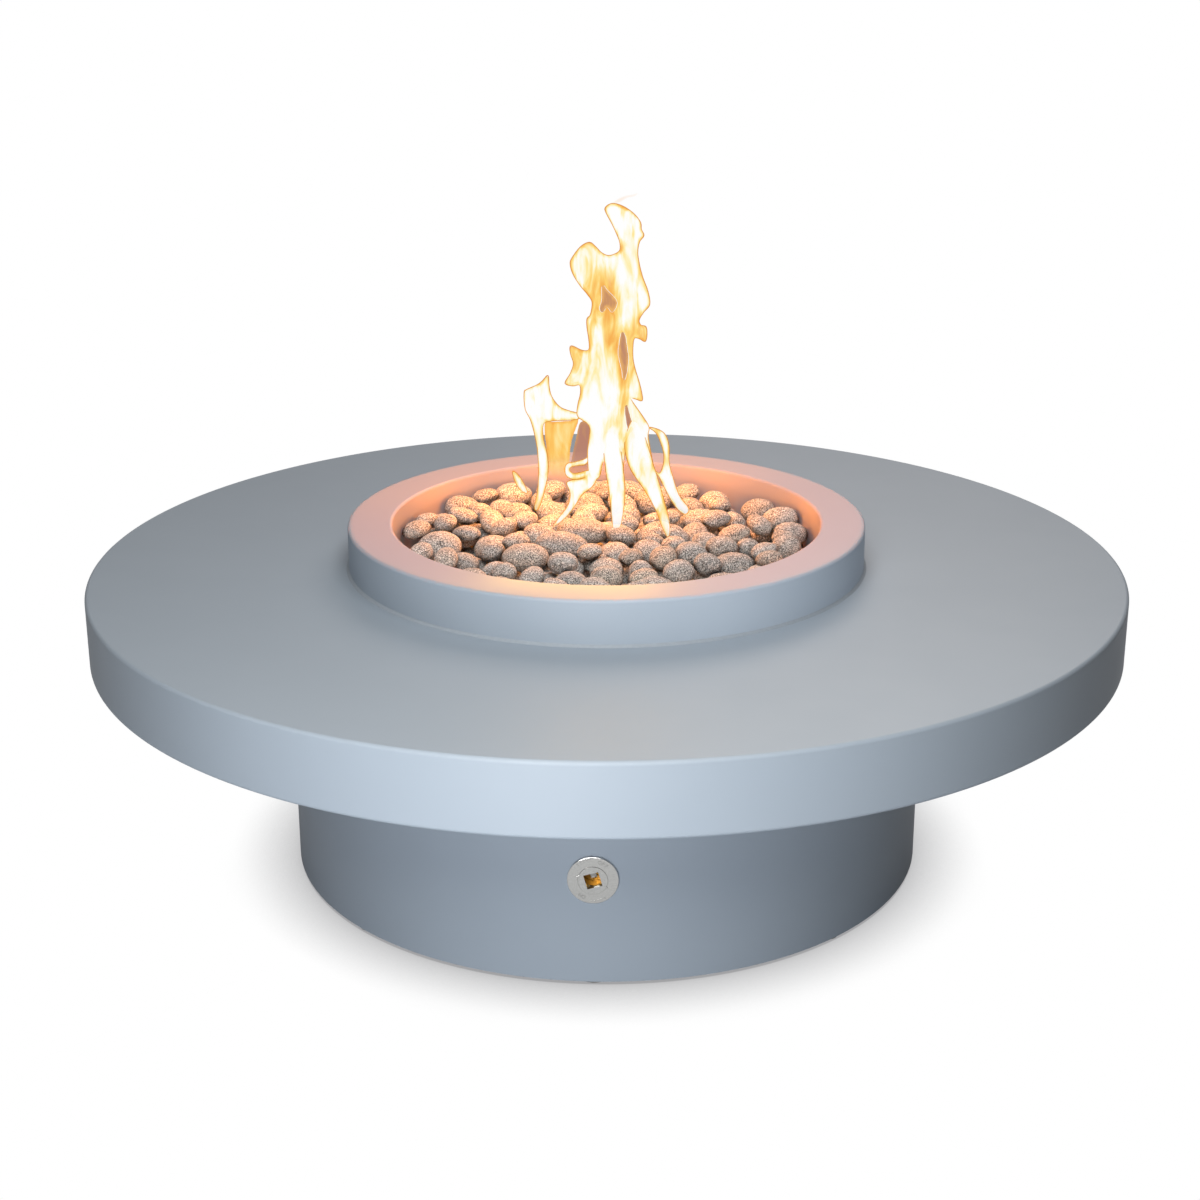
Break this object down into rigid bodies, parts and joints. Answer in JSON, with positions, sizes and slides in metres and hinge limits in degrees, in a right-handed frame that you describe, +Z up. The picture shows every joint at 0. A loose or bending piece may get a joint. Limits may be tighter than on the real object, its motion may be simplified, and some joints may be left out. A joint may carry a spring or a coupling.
{
  "type": "fire pit table",
  "caption": "Round gas fire pit table: deep-edged metal tabletop on a drum, a raised collar round a bowl of tumbled lava over a ring burner, and a key valve in the drum's front",
  "frame": {"origin": "on the floor under the centre of the round table", "axes": "+Z up along the table's own axis, -Y to the front where the valve's cover plate is, +X to the right as seen from the front"},
  "size_m": [1.2192, 1.2192, 0.413],
  "materials": {
    "powder_coated_steel": "satin",
    "zinc_plated_steel": "satin",
    "stainless_steel": "satin",
    "brass": "satin",
    "chrome_plate": "polished",
    "rubber": "matte",
    "sealant": "matte",
    "seat_plastic": "matte",
    "crushed_lava": "matte",
    "tumbled_lava": "matte"
  },
  "bodies": {
    "table": {"burner_hose": "stainless_steel", "burner_hub": "stainless_steel", "burner_inner_ring": "stainless_steel", "burner_nipple": "brass", "burner_outer_ring": "stainless_steel", "burner_pan": "stainless_steel", "burner_spokes": "stainless_steel", "collar_seal": "sealant", "drum_foot_ring": "powder_coated_steel", "drum_top_ring": "powder_coated_steel", "drum_wall": "powder_coated_steel", "fire_collar": "powder_coated_steel", "foot_pads": "rubber", "hose_nut_burner": "brass", "hose_nut_valve": "brass", "inlet_elbow": "brass", "lava_bed": "crushed_lava", "lava_stones_lower": "tumbled_lava", "lava_stones_upper": "tumbled_lava", "mounting_bolts": "zinc_plated_steel", "mounting_nuts": "zinc_plated_steel", "mounting_washers": "zinc_plated_steel", "pan_bracket_1": "zinc_plated_steel", "pan_bracket_2": "zinc_plated_steel", "pan_bracket_3": "zinc_plated_steel", "pan_bracket_4": "zinc_plated_steel", "pan_locknut": "brass", "pan_washer": "zinc_plated_steel", "soffit_panel": "powder_coated_steel", "tabletop": "powder_coated_steel", "top_rib_1": "powder_coated_steel", "top_rib_2": "powder_coated_steel", "top_rib_3": "powder_coated_steel", "top_rib_4": "powder_coated_steel", "top_rib_5": "powder_coated_steel", "top_rib_6": "powder_coated_steel", "top_rib_7": "powder_coated_steel", "top_rib_8": "powder_coated_steel", "valve_body": "brass", "valve_bonnet": "brass", "valve_inlet_cap": "brass", "valve_locknut": "brass", "valve_plate": "chrome_plate", "valve_seats": "seat_plastic", "valve_sleeve": "brass", "valve_washer": "zinc_plated_steel"},
    "valve_spindle": {"valve_stem": "stainless_steel", "valve_ball": "chrome_plate", "stem_rubber_rings": "rubber"}
  },
  "joints": [
    {"name": "key_valve", "type": "hinge", "parent": "table", "child": "valve_spindle", "pos_m": [0, -0.318, 0.1257], "axis": [0, 1, 0], "range_deg": [0, 90]}
  ]
}
